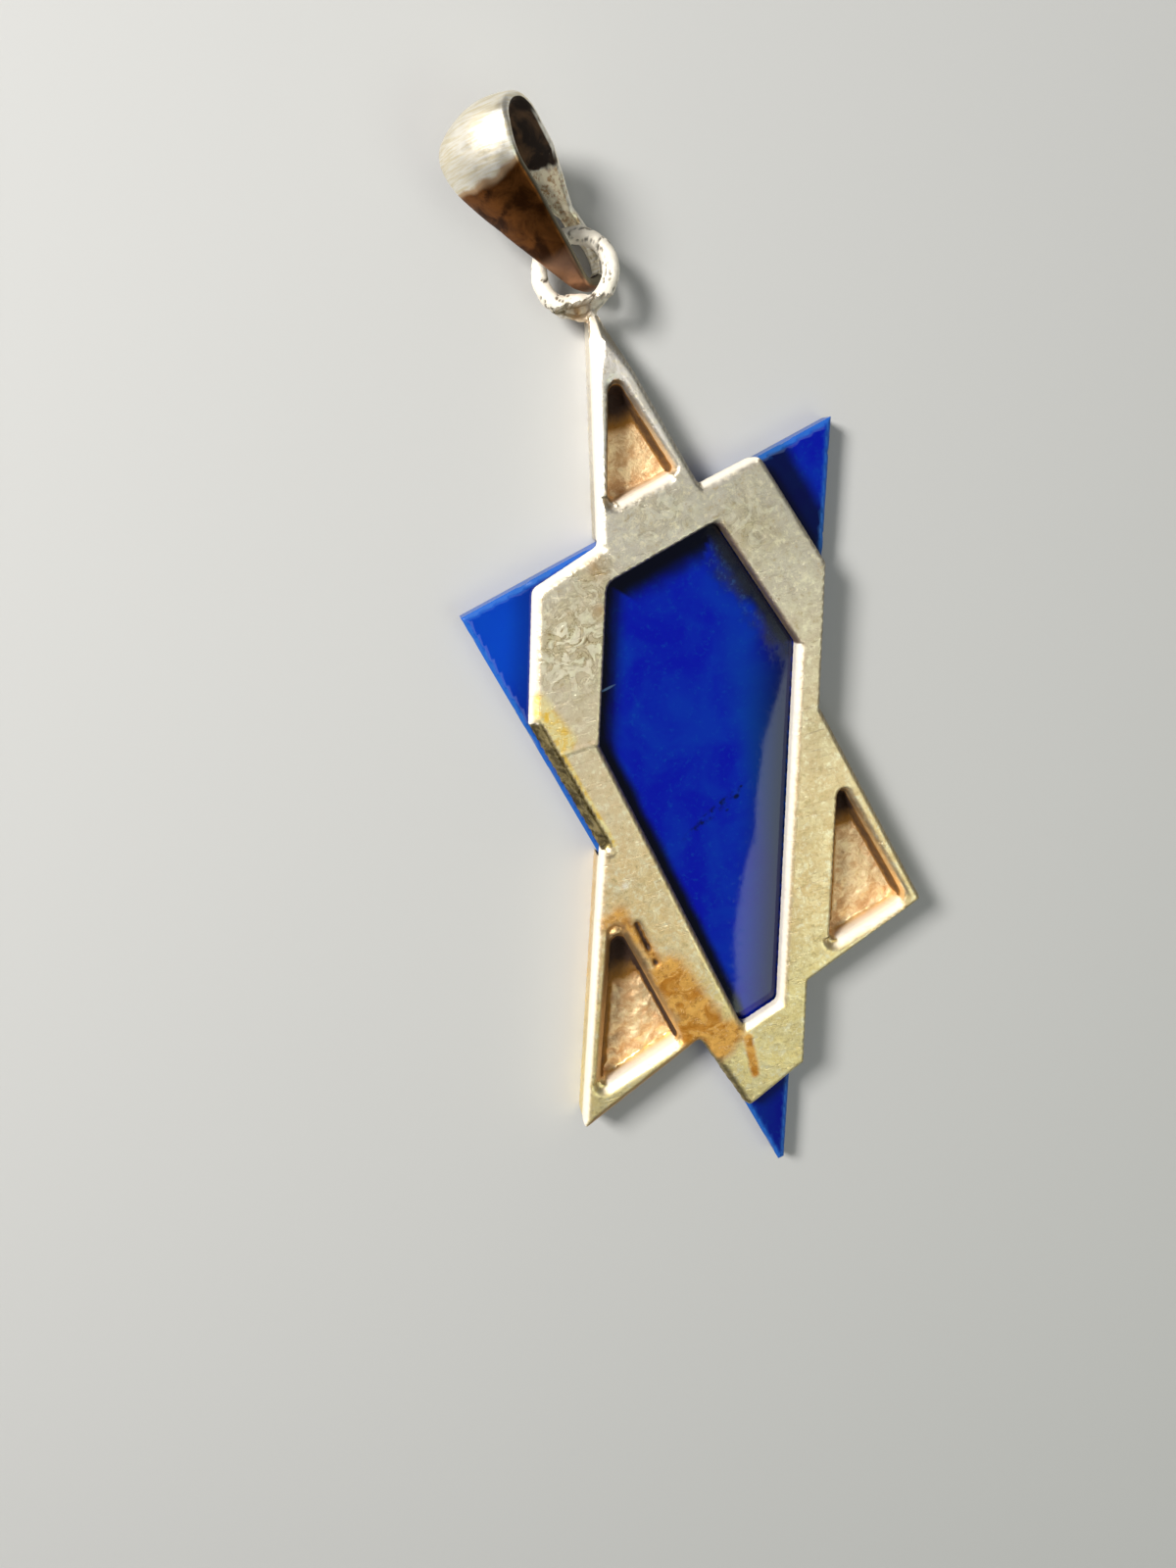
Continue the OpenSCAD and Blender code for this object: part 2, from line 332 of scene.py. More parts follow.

# Each kind of finish, and the hollows' darkening, as its darker and its lighter colour
SCUFF = [(0.64, 0.54, 0.32), (0.98, 0.92, 0.70)]
HOLLOW_FLOOR = [(0.74, 0.48, 0.25), (1.0, 0.82, 0.52)]
YELLOW = [(0.92, 0.60, 0.10), (1.0, 0.86, 0.46)]
GRIT = [(0.09, 0.065, 0.02), (0.46, 0.36, 0.15)]
CRUST = [(0.47, 0.175, 0.008), (0.80, 0.44, 0.10)]
# Browns for the hollows, pits and solder, also used for painted shade along the hollows' left walls
DARKENING_COLOURS = [(0.035, 0.012, 0.003), (0.56, 0.27, 0.05)]
SCUFF_LINE = (0.24, 0.15, 0.04)
# Painted shade on faces turned from the light, also used for the ring's cracks
SHADE_AND_CRACK_COLOUR = (0.16, 0.13, 0.08)
TAN = (0.55, 0.33, 0.14)
CRUST_CREASE = (1.0, 0.78, 0.44)
CRUST_SPECK = (0.34, 0.12, 0.006)


def cast_gold():
    look = Look("cast_gold", SILVERY)
    place = look.place()
    broad = look.speckle(place, 0.3, 3.0)
    blots = look.speckle(place, 1.9, 6.0, 0.68, 0.5)
    fine = look.speckle(place, 3.2, 4.0, 0.75)
    height = look.put("SeparateXYZ", {0: place}).outputs[1]
    # Warmer and brighter down the plate: a painted reflection
    look.tint(look.ranged(height, SILVERY_Y, WARM_Y), WARM)
    look.tint(look.ranged(height, WARM_Y, RICH_Y), RICH)
    look.tint(look.ranged(height, SILVERY_Y, POINT_Y), POINT_GOLD)
    look.tint(look.ranged(blots, 0.40, 0.68, 0.0, 0.40), BLOT)
    look.tint(look.ranged(broad, 0.45, 0.75, 0.0, 0.4), CLOUD)
    look.tint(look.ranged(fine, 0.53, 0.70, 0.0, 0.65), PORE)
    look.tint(look.ranged(fine, 0.48, 0.34, 0.0, 0.75), GLINT)

    # Scuffed places, bare gold and painted highlights on edges, the floors of the hollows, and mended
    # places, painted shade with the ring's cracks, tan and filed places
    swirls = look.speckle(place, 1.1, 4.0, 0.55, 2.2)
    scuffs = look.mixed(look.ranged(swirls, 0.50, 0.56), *SCUFF)
    scuffs = look.mixed(look.ranged(look.off(swirls, 0.47), 0.022, 0.006), scuffs, SCUFF_LINE)
    look.tint(look.times(look.mark("scuffed"), look.ranged(blots, 0.3, 0.6, 0.35, 0.9)), scuffs)
    # Worn bare gold on the ring, the filed rim and a nick, with painted highlights on steep faces and the
    # tip turned to the light
    bare_and_highlight = look.mark("bare_and_highlight")
    look.tint(bare_and_highlight, BARE_AND_HIGHLIGHT_GOLD)
    hollow = look.mark("hollow")
    look.tint(hollow, look.mixed(look.ranged(blots, 0.35, 0.65), *HOLLOW_FLOOR))
    yellow_here = look.ranged(look.plus(look.mark("yellow"), look.times(blots, 0.8)), 0.5, 1.25)
    look.tint(yellow_here, look.mixed(look.ranged(blots, 0.4, 0.62), *YELLOW))
    # Painted shade on faces turned from the light, with the ring's cracks
    look.tint(look.times(look.mark("shade_and_cracks"), 0.8), SHADE_AND_CRACK_COLOUR)
    look.tint(look.times(look.mark("tan"), 0.8), TAN)
    look.tint(look.mark("filed"), look.mixed(look.ranged(blots, 0.38, 0.66), *GRIT))

    # Orange crust with pale creases and dark specks
    smear = look.speckle(place, 1.2, 4.0, 0.6, 0.9)
    crust_noise = look.plus(look.times(blots, 0.7), look.times(smear, 0.4))
    crust_here = look.ranged(look.plus(look.mark("crust"), crust_noise), 0.60, 1.30)
    crust = look.mixed(look.ranged(smear, 0.30, 0.68), *CRUST)
    crust = look.mixed(look.ranged(look.off(smear, 0.51), 0.010, 0.0, 0.0, 0.45), crust, CRUST_CREASE)
    crust = look.mixed(look.ranged(fine, 0.50, 0.66, 0.0, 0.6), crust, CRUST_SPECK)
    look.tint(crust_here, crust)

    # Brown darker towards the hollows' apexes and along their right walls, painted shade along their left
    # walls, and brown residue in the pits and on the solder, darker where the mark is stronger
    darkened = look.ranged(look.plus(look.mark("darkening"), look.times(blots, 0.4)), 0.35, 1.05)
    thick, thin = DARKENING_COLOURS
    look.tint(look.ranged(darkened, 0.0, 0.35), look.mixed(darkened, thin, thick))

    dull = look.most(look.ranged(darkened, 0.1, 0.8), look.times(crust_here, 0.45))
    dull = look.most(dull, look.times(look.mark("matte"), 0.6))
    look.feed(look.surface.inputs["Metallic"], look.maths("SUBTRACT", 1.0, dull))
    rough = look.plus(look.ranged(blots, 0.3, 0.7, 0.50, 0.36), look.times(bare_and_highlight, 0.2))
    rough = look.plus(rough, look.times(hollow, 0.2))
    rough = look.plus(rough, look.times(dull, 0.2))
    lines = look.most(look.scratches(place, 35, 1.0, 0.62), look.scratches(place, -62, 1.4, 0.64))
    relief = look.plus(fine, look.times(blots, 1.5))
    relief = look.plus(relief, look.times(lines, -0.5))
    coarse = look.plus(hollow, look.times(crust_here, 0.3))
    relief = look.plus(relief, look.times(look.times(coarse, fine), 4.0))
    return look.finished(rough, relief, 0.8)


BAIL_GOLD = [(0.86, 0.77, 0.56), (1.0, 0.96, 0.86)]
# Painted dark reflection on the front leg
REFLECTION_DARK = [(0.045, 0.014, 0.003), (0.20, 0.07, 0.016)]
GRAVEL = [(0.62, 0.42, 0.23), (1.0, 0.92, 0.70)]
# Painted shade inside the loop
BAIL_DARK = [(0.02, 0.008, 0.002), (0.16, 0.08, 0.03)]
# Brown where the painted dark reflection on the front leg begins
REFLECTION_BROWN = (0.58, 0.38, 0.22)
PINKISH = (0.42, 0.24, 0.15)
# Painted shade on the front leg's edges
FRONT_EDGE_SHADE = (0.17, 0.15, 0.10)
# Painted highlight on the back leg's edges
BACK_EDGE_HIGHLIGHT = (1.0, 0.95, 0.84)


def bail_gold():
    look = Look("bail_gold")
    place = look.place()
    blots = look.speckle(place, 1.2, 5.0, 0.6, 0.5)
    fine = look.speckle(place, 5.0, 6.0, 0.65)
    strokes = look.speckle(look.stretched(place, -38, (1.0, 9.0, 1.0)), 1.2, 4.0, 0.6)
    look.colour = look.mixed(look.ranged(strokes, 0.35, 0.65), *BAIL_GOLD)
    # Painted dark reflection on the front leg, brown turning to near black
    reflected = look.plus(look.mark("front_reflection"), look.times(blots, 0.5))
    look.tint(look.ranged(reflected, 0.30, 0.60), REFLECTION_BROWN)
    look.tint(look.ranged(reflected, 0.60, 1.0), look.mixed(look.ranged(blots, 0.35, 0.65), *REFLECTION_DARK))
    look.tint(look.mark("pink"), PINKISH)
    gravel = look.mark("gravel")
    look.tint(gravel, look.mixed(look.ranged(fine, 0.37, 0.53), *GRAVEL))
    # Painted shade inside the loop, which also dulls the gold there
    darkened = look.ranged(look.plus(look.mark("darkening"), look.times(blots, 0.3)), 0.4, 0.8)
    look.tint(darkened, look.mixed(look.ranged(blots, 0.4, 0.7), *BAIL_DARK))
    # Painted shade on the front leg's edges
    look.tint(look.mark("rim"), FRONT_EDGE_SHADE)
    # Painted highlight on the back leg's edges
    look.tint(look.mark("back_edge_highlight"), BACK_EDGE_HIGHLIGHT)
    look.feed(look.surface.inputs["Metallic"], look.maths("SUBTRACT", 1.0, look.times(darkened, 0.8)))
    rough = look.plus(look.ranged(blots, 0.3, 0.7, 0.48, 0.36), look.times(gravel, 0.1))
    rough = look.plus(rough, look.times(darkened, 0.3))
    relief = look.plus(look.times(strokes, 0.6), fine)
    return look.finished(rough, relief, 0.3)


LAPIS = [(0.0, 0.004, 0.30), (0.0, 0.020, 0.31)]
LAPIS_GRAIN = (0.0, 0.05, 0.32)
# Painted light on the stone's left corner
LAPIS_PAINTED_LIGHT = (0.0, 0.06, 0.48)
LAPIS_VEIN = (0.0, 0.004, 0.03)
# Painted shade along the window's right wall
LAPIS_WALL_SHADE = (0.0, 0.048, 0.22)
LAPIS_SPECK = (0.0, 0.003, 0.02)
LAPIS_SHADE = (0.0, 0.0015, 0.008)
LAPIS_GROUND = (0.02, 0.14, 0.50)
LAPIS_SCRATCH = (0.25, 0.45, 0.8)
GLUE = [(0.0, 0.004, 0.035), (0.01, 0.05, 0.16)]

# Ovals on the stone: centre, turn in degrees, half length and half width
VEIN = ((0.6, -1.5), 28, 2.2, 0.28)
# Painted shade along the window's right wall
WALL_SHADE_OVAL = ((4.4, -3.4), 97, 12.0, 2.2)
SCRATCH = ((-2.75, 5.25), 12, 0.45, 0.07)

# Dark specks in the stone: centre, size and strength
SPECKS = [((1.75, -1.1), 0.20, 0.9), ((2.05, -0.7), 0.10, 0.8), ((1.2, -1.6), 0.12, 0.6)]


def lapis():
    look = Look("lapis")
    place = look.place()
    clouds = look.speckle(place, 0.4, 6.0, 0.55, 0.5)
    grain = look.speckle(place, 4.0, 6.0, 0.7)
    look.colour = look.mixed(look.ranged(clouds, 0.35, 0.68), *LAPIS)
    look.tint(look.ranged(grain, 0.52, 0.75, 0.0, 0.5), LAPIS_GRAIN)
    # Painted light on the stone's left corner
    look.tint(look.times(look.mark("light"), 0.7), LAPIS_PAINTED_LIGHT)
    dots = look.ranged(look.speckle(place, 3.4, 3.0, 0.5), 0.42, 0.72)
    look.tint(look.times(look.oval(place, *VEIN), dots), LAPIS_VEIN)
    # Painted shade along the window's right wall
    look.tint(look.times(look.oval(place, *WALL_SHADE_OVAL), 0.6), LAPIS_WALL_SHADE)
    for centre, size, share in SPECKS:
        look.tint(look.times(look.oval(place, centre, 20, size, size * 0.7), share), LAPIS_SPECK)

    # Dried glue along the window's upper right wall, the plate's shade, ground edges and one small scratch
    glue = look.ranged(look.plus(look.mark("glue"), look.times(grain, 0.5)), 0.25, 0.95)
    crumbs = look.ranged(grain, 0.52, 0.66)
    look.tint(look.times(glue, 0.85), look.mixed(crumbs, *GLUE))
    look.tint(look.times(look.mark("shade"), 0.97), LAPIS_SHADE)
    ground = look.mark("ground")
    look.tint(look.times(ground, 0.7), LAPIS_GROUND)
    look.tint(look.times(look.oval(place, *SCRATCH), 0.6), LAPIS_SCRATCH)

    rough = look.plus(look.ranged(grain, 0.3, 0.8, 0.02, 0.045), look.times(glue, 0.25))
    rough = look.plus(rough, look.times(ground, 0.3))
    look.surface.inputs["Specular IOR Level"].default_value = 0.4
    relief = look.plus(grain, look.times(look.times(glue, crumbs), 6.0))
    return look.finished(rough, relief, 0.012)


# The gold frame with its ring and solder

FRAME_VOXEL = 0.092
SMOOTH_ROUNDS = 3
RING_CENTRE = (-0.15, 21.56, 1.40)
SOLDER_CENTRE = (-0.5, 20.05, 1.0)
RING_FROM_Y = 20.3
TIP_END_Y = 20.4
BEVEL_LOW_Z = 1.25
LIGHT_SIDE = (-0.85, 0.53)

# The hollows: corners, widths of the worn bevels on the right, low and left wall, reach of the dark apex,
# large and small lumps of the floor, and painted shade along the left wall
Hollow = namedtuple("Hollow", "corners bevels dark_reach lumps bumps dirt")
HOLLOWS = [
    Hollow([(0.28, 18.16), (2.13, 13.32), (-1.14, 12.54)], (0.08, 0.32, 0.10), 3.9, 0.025, 0.010, 0.10),
    Hollow([(6.34, -1.12), (8.59, -8.12), (4.33, -9.30)], (0.08, 0.36, 0.10), 4.2, 0.060, 0.020, 0.50),
    Hollow([(-5.06, -4.42), (-3.36, -11.60), (-7.85, -13.02)], (0.28, 0.36, 0.24), 5.6, 0.100, 0.035, 0.55)
]
LEFT_HOLLOW = 2
RIGHT_WALL, LOW_WALL, LEFT_WALL = range(3)
HOLLOW_ROUND = 0.3

# Width of the worn bevel along each edge of the frame and of its window, from each corner on
FRAME_BEVELS = np.array([
    0.14, 0.34, 0.12, 0.10, 0.18, 0.16, 0.12, 0.20, 0.22, 0.28, 0.28, 0.12, 0.38, 0.36, 0.28
])
WINDOW_BEVELS = np.array([0.08, 0.10, 0.27, 0.27, 0.20, 0.07])

# Edges of the frame and of its window that differ from the rest, by the number of their first corner
CRUSTED_EDGE = 8
TAN_EDGE = 9
FILED_EDGE = 11
UPPER_RIGHT_EDGE = 1

# Scuffed places on the plate: centre, radius and strength
SCUFFS = [
    ((-3.9, 7.6), 3.2, 1.0), ((-2.2, 9.9), 1.8, 0.8), ((4.2, 10.6), 2.6, 0.5), ((1.0, 12.0), 2.6, 0.5)
]

# Orange crust: the two ends of a line, radius and strength
CRUSTS = [
    ((-3.3, -8.2), (-1.8, -12.2), 1.7, 1.0), ((-3.2, -11.2), (-1.2, -12.0), 1.3, 1.0),
    ((-5.4, -4.9), (-4.7, -4.6), 0.9, 0.6), ((-4.7, -4.8), (-3.2, -8.4), 0.7, 0.65),
    ((-0.35, -12.5), (-0.4, -14.4), 0.4, 0.9)
]

# Tan stains on the plate: centre and radius
STAINS = [((-2.45, 8.6), 0.55), ((-2.1, 10.3), 0.8)]

# Single places on the plate and the ring, and the two ends of lines along the plate
FLAKE_PLACE = (-4.45, -1.7)
NICK_PLACE = (-4.22, -3.38)
MELTED_PLACE = (0.6, 22.5)
YELLOW_LINE = ((-6.0, 5.6), (-5.2, 3.7))
PITS_LINE = ((-4.14, -5.35), (-3.7, -7.45))
SEAM_LINE = ((-5.45, 3.2), (-3.9, 3.25))

# Stretches of the top point over which it gets sharper and lower, and how much lower it gets
SHARPER_Y = (17.2, 19.4)
LOWER_Y = (17.4, 20.2)
TIP_DROP = 0.45


def per_hollow(column, numbers):
    """A column of the table of hollows at each of the numbers."""
    return np.array([getattr(row, column) for row in HOLLOWS])[numbers]


def bevel(away, width, share):
    """How far a worn bevel lowers the back at a distance from its edge."""
    return share * width * np.clip(1 - away / width, 0, 1) ** 1.3


def frame_places(points):
    """How points lie to the outlines: distances, less than 0 inside, and numbers of the nearest edges."""
    outer, edge = edge_distance(points, FRAME)
    inner, window_edge = edge_distance(points, WINDOW)
    hollows = [rounded_distance(points, row.corners, HOLLOW_ROUND) for row in HOLLOWS]
    number = np.argmin([away for away, _ in hollows], axis=0)
    return SimpleNamespace(
        outer=outer, edge=edge, inner=inner, window_edge=window_edge, number=number,
        hollow=np.min([away for away, _ in hollows], axis=0),
        wall=np.choose(number, [wall for _, wall in hollows]),
        sharpened=smoothstep(*SHARPER_Y, points[:, 1])
    )


def wear_edges(points, at):
    """Lowers the back along its worn edges, and the thin, rounded tip."""
    y, z = points[:, 1], points[:, 2]
    drop = bevel(-at.outer, FRAME_BEVELS[at.edge] + 0.3 * at.sharpened, 0.85)
    drop = np.maximum(drop, bevel(at.inner, WINDOW_BEVELS[at.window_edge], 0.9))
    widths = np.array([row.bevels for row in HOLLOWS])[at.number, at.wall]
    drop = np.maximum(drop, bevel(np.abs(at.hollow), widths, 0.8))
    drop += TIP_DROP * smoothstep(*LOWER_Y, y)
    high = np.clip((z - BEVEL_LOW_Z) / (BACK_Z - BEVEL_LOW_Z), 0, 1)
    points[:, 2] -= np.where(y < TIP_END_Y, drop * high, 0)


def frame_surfaces(points, normals, at):
    """Noise at the points, and how much each of them lies on each kind of surface, 0 to 1."""
    y, z = points[:, 1], points[:, 2]
    on = SimpleNamespace()
    on.rough = fractal(points, 0.7, 4)
    on.small = fractal(points, 0.34, 2, 5.0)
    on.lumps = fractal(points, 2.6, 2, 7.0)
    on.plate = (y < RING_FROM_Y) * 1.0
    on.back = smoothstep(0.5, 0.85, normals[:, 2]) * smoothstep(1.4, 1.6, z) * on.plate
    on.hollow = smoothstep(0.0, 0.12, -at.hollow) * smoothstep(1.75, 1.3, z) * (z > 0.4)
    on.floor = on.hollow * smoothstep(1.0, 0.85, z)
    ring_away = np.linalg.norm(points - np.array(RING_CENTRE), axis=1)
    on.ring = (1 - smoothstep(1.75, 1.95, ring_away)) * smoothstep(20.0, RING_FROM_Y, y)
    solder_away = np.linalg.norm(points - np.array(SOLDER_CENTRE), axis=1)
    on.solder = (1 - smoothstep(0.7, 1.1, solder_away)) * (1 - on.back)
    on.filed = (at.edge == FILED_EDGE) * smoothstep(0.58, 0.50, -at.outer)
    on.filed = on.filed * smoothstep(1.2, 1.3, z) * (1 - on.hollow)
    on.crusted = (at.edge == CRUSTED_EDGE) * smoothstep(0.5, 0.1, -at.outer) * on.plate
    scuffs = [share * near(points, centre, radius) for centre, radius, share in SCUFFS]
    on.scuffed = np.maximum.reduce(scuffs) * on.back
    crusts = [share * along_line(points, a, b, radius) for a, b, radius, share in CRUSTS]
    on.crust = np.maximum.reduce(crusts) * on.back
    beside_filed = 0.9 * smoothstep(0.85, 0.6, -at.outer) * (at.edge == FILED_EDGE) * (y < 3.9)
    on.yellow = np.maximum(along_line(points, *YELLOW_LINE, 0.9), beside_filed)
    on.yellow = on.yellow * on.back * (1 - on.filed)

    # A row of pits beside the lower left hollow, and cracks in the ring
    on.pits = along_line(points, *PITS_LINE, 0.24) * (0.75 + 0.6 * on.rough) * on.back
    veins = smoothstep(0.07, 0.02, np.abs(fractal(points, 0.8, 2, 21.0)))
    on.cracks = on.ring * veins * (on.lumps > -0.1)
    return on


def frame_relief(points, at, on):
    """How far each point of the cast, worn and crusted gold moves out along its normal."""
    push = (0.014 * on.lumps + 0.006 * on.rough) * on.back + 0.026 * (on.rough + on.small) * on.scuffed
    floor = per_hollow("lumps", at.number) * on.rough + per_hollow("bumps", at.number) * on.small
    push += floor * on.floor + 0.015 * on.rough * on.hollow
    push += (0.028 + 0.025 * on.rough + 0.02 * on.small) * on.ring
    melted = near(points, MELTED_PLACE, 1.3) * on.ring
    push += 0.05 * on.small * melted + 0.08 * on.rough * on.solder
    push += 0.030 * on.small * on.filed + 0.006 * on.small * on.yellow + 0.006 * on.rough * (1 - on.back)
    push += (0.018 * on.rough + 0.006 * on.small) * smoothstep(0.2, 0.9, on.crust)
    push += 0.05 * on.small * on.crusted
    seam = along_line(points, *SEAM_LINE, 0.13) * on.back
    flake = near(points, FLAKE_PLACE, 0.3) * on.back
    return push - 0.25 * on.pits - 0.05 * on.cracks + 0.05 * seam + 0.10 * flake


def frame_marks(points, normals, at, on):
    """Marks for the finish: steep faces towards the light get a painted highlight, and those away from it
    painted shade.
    """
    z = points[:, 2]
    right_wall = smoothstep(0.40, 0.20, -at.hollow) * (at.wall == RIGHT_WALL)
    left_side = smoothstep(0.9, 0.3, -at.hollow) * (at.wall == LEFT_WALL)
    low_wall = smoothstep(0.26, 0.12, -at.hollow) * (at.wall == LOW_WALL)
    upper_wall = smoothstep(0.32, 0.22, np.abs(at.inner)) * (at.window_edge == UPPER_RIGHT_EDGE)
    hollow_rim = smoothstep(0.32, 0.22, np.abs(at.hollow)) * (at.wall != LOW_WALL)
    in_left = at.number == LEFT_HOLLOW

    # Brown residue in the pits and on the solder; in the hollows, brown that is darker towards each apex
    # and along the right walls, and painted shade along the left walls
    apex = np.max([near(points, row.corners[0], row.dark_reach) for row in HOLLOWS], axis=0)
    # Painted shade along the left walls of the hollows
    dirt = per_hollow("dirt", at.number) * left_side
    darkening = on.hollow * np.maximum.reduce([1.6 * apex, 0.7 * right_wall, dirt, right_wall * in_left])
    darkening *= 1 - 0.95 * low_wall
    darkening = np.maximum.reduce([darkening, 1.2 * on.pits, 0.3 * on.solder * smoothstep(-0.1, 0.5, on.rough)])

    # Steep faces towards the light and away from it
    steep = smoothstep(0.90, 0.66, normals[:, 2]) * (z > 0.3) * on.plate
    lit = smoothstep(-0.15, 0.35, normals[:, :2] @ LIGHT_SIDE)
    edges = steep * (1 - on.hollow * (1 - low_wall)) * (1 - on.filed) * (1 - on.crusted)
    # Painted highlight: steep faces turned to the light are painted pale gold
    painted_highlight = edges * lit * smoothstep(0.8, 1.3, z) * (1 - 0.9 * np.maximum(upper_wall, hollow_rim))
    # Painted shade on steep faces turned from the light, joined with the ring's cracks
    shade_and_cracks = np.maximum(edges * (1 - lit) * (1 - on.solder), on.cracks)
    filed_rim = (at.edge == FILED_EDGE) * smoothstep(0.10, 0.04, -at.outer) * on.plate
    nick = near(points, NICK_PLACE, 0.25)
    # Worn bare gold, joined with the painted highlights
    bare_and_highlight = np.maximum.reduce([painted_highlight, 0.9 * on.ring, 0.7 * at.sharpened * lit, 0.7 * filed_rim, nick])
    bare_and_highlight *= (1 - on.solder) * (1 - on.cracks)

    # Tan edges, rims, walls and stains; on the window's upper right wall the tan is painted shade
    tan_edge = (at.edge == TAN_EDGE) * smoothstep(0.42, 0.25, -at.outer) * on.plate
    rim = smoothstep(0.30, 0.14, np.abs(at.hollow)) * in_left * (at.wall != LOW_WALL)
    rim *= smoothstep(1.3, 1.5, z)
    stains = np.maximum.reduce([near(points, centre, radius) for centre, radius in STAINS])
    tan = np.maximum.reduce([
        tan_edge, 0.8 * rim, 0.8 * upper_wall * steep, stains * on.back * (0.7 + 0.6 * on.rough),
        0.6 * on.solder * smoothstep(-0.3, 0.4, on.rough),
        0.6 * low_wall * on.hollow * smoothstep(1.6, 1.35, z)
    ])
    return {
        "darkening": darkening, "bare_and_highlight": bare_and_highlight, "hollow": on.hollow * (1 - low_wall), "scuffed": on.scuffed,
        "crust": on.crust, "yellow": on.yellow, "filed": np.maximum(on.filed, 0.8 * on.crusted),
        "shade_and_cracks": shade_and_cracks, "tan": tan, "matte": np.maximum(on.ring * (1 - on.cracks), 0.9 * painted_highlight)
    }


def star_frame():
    mesh = remeshed(solid_copy("star_frame"), FRAME_VOXEL)
    smoothed(mesh, SMOOTH_ROUNDS)
    points = mesh_points(mesh)
    at = frame_places(points)
    wear_edges(points, at)
    set_points(mesh, points)
    normals = mesh_normals(mesh)
    on = frame_surfaces(points, normals, at)
    points += normals * frame_relief(points, at, on)[:, None]
    set_points(mesh, points)
    marks = frame_marks(points, normals, at, on)
    finish_piece("worn_star_frame", mesh, "star_frame", cast_gold(), marks)


# The folded strap of the bail: its place, directions, and radii and thicknesses at the fold and the crown

FOLD_CENTRE = (0.251, 22.028, 1.067)
BAIL_TURN = math.radians(33)
BAIL_RISE = math.radians(20)
BAIL_ROLL = math.radians(49)
FOLD_R = 0.86
FOLD_T = 0.36
CROWN_R = 1.12
CROWN_T = 0.26
CROWN_DOME = 0.34
CROWN_REACH = 1.2
LEG_L = 4.55
CROWN_END = LEG_L + 1.66

# Width of the strap at places along it, on its back leg and, wider, on its front leg
BACK_WIDTHS = [(-FOLD_R - FOLD_T, 0.55), (LEG_L * 0.3, 0.7), (LEG_L * 0.8, 2.6), (CROWN_END, 3.5)]
FRONT_WIDTHS = [(-0.7, 0.58), (0.3, 1.05), (1.3, 1.55), (LEG_L * 0.8, 2.65), (CROWN_END, 3.5)]

# Rows of points round the loop, points across each face and round each edge, and width of the rounded edges
STRAP_ROWS = 320
FACE_POINTS = 17
EDGE_POINTS = 5
STRAP_EDGE = 0.11

# Places along the strap where its coarse inside and the painted dark reflection on its front end
COARSE_END = 3.6
REFLECTION_END = 4.75


def bail_axes():
    """Directions across the strap, along it to the crown, and out of its front."""
    run = math.cos(BAIL_RISE)
    along = Vector((-math.sin(BAIL_TURN) * run, math.cos(BAIL_TURN) * run, math.sin(BAIL_RISE)))
    level = Vector((math.cos(BAIL_TURN), math.sin(BAIL_TURN), 0))
    up = level.cross(along)
    across = level * math.cos(BAIL_ROLL) + up * math.sin(BAIL_ROLL)
    out = up * math.cos(BAIL_ROLL) - level * math.sin(BAIL_ROLL)
    return np.array([across, along, out])


def strap_line(crown_r, fold_r, share):
    """Points round the strap's loop at shares of its length: crown, leg, fold, leg."""
    tilt = math.asin((CROWN_R + CROWN_T - FOLD_R - FOLD_T) / LEG_L)
    part = np.minimum((share * 4).astype(int), 3)
    t = share * 4 - part

    def bend(centre, r, stretch, start, end, t):
        angle = start + (end - start) * t
        return np.stack([centre + stretch * r * np.sin(angle), r * np.cos(angle)], axis=-1)

    def leg(a, b):
        return a * (1 - t[..., None]) + b * t[..., None]

    crown = (LEG_L, crown_r, CROWN_REACH, -tilt, math.pi + tilt)
    fold = (0.0, fold_r, 1.0, math.pi + tilt, 2 * math.pi - tilt)
    parts = [
        bend(*crown, t), leg(bend(*crown, 1.0), bend(*fold, 0.0)),
        bend(*fold, t), leg(bend(*fold, 1.0), bend(*crown, 0.0))
    ]
    return np.select([(part == k)[..., None] for k in range(4)], parts)


def strap_section():
    """Places round the strap's section: across (-1 to 1), through (0 inside, 1 outside), over its edge."""
    flat = np.linspace(-1, 1, FACE_POINTS)
    turn = np.linspace(0, math.pi, EDGE_POINTS + 2)[1:-1]
    places = [(x, 1.0, 0.0) for x in flat]
    places += [(1.0, 0.5 + 0.5 * math.cos(a), math.sin(a)) for a in turn]
    places += [(x, 0.0, 0.0) for x in -flat]
    places += [(-1.0, 0.5 - 0.5 * math.cos(a), -math.sin(a)) for a in turn]
    return places


def strap_points(section):
    """Points of the strap: a row for each place along it, with a point for each place of its section."""
    share = np.arange(STRAP_ROWS) / STRAP_ROWS
    outer = strap_line(CROWN_R + CROWN_DOME + CROWN_T, FOLD_R + FOLD_T, share)
    width = np.interp(outer[:, 0], *zip(*BACK_WIDTHS))
    front_width = np.interp(outer[:, 0], *zip(*FRONT_WIDTHS))
    width = np.where(outer[:, 1] > 0, np.maximum(width, front_width), width)
    columns = []
    for x, depth, over in section:
        across = x * (width / 2 - STRAP_EDGE) + over * STRAP_EDGE
        dome = CROWN_R + CROWN_DOME * (1 - 4 * (across / width) ** 2)
        lines = strap_line(dome + CROWN_T * depth, np.full(STRAP_ROWS, FOLD_R + FOLD_T * depth), share)
        columns.append(np.stack([across, lines[:, 0], lines[:, 1]], axis=-1))
    return np.stack(columns, axis=1)


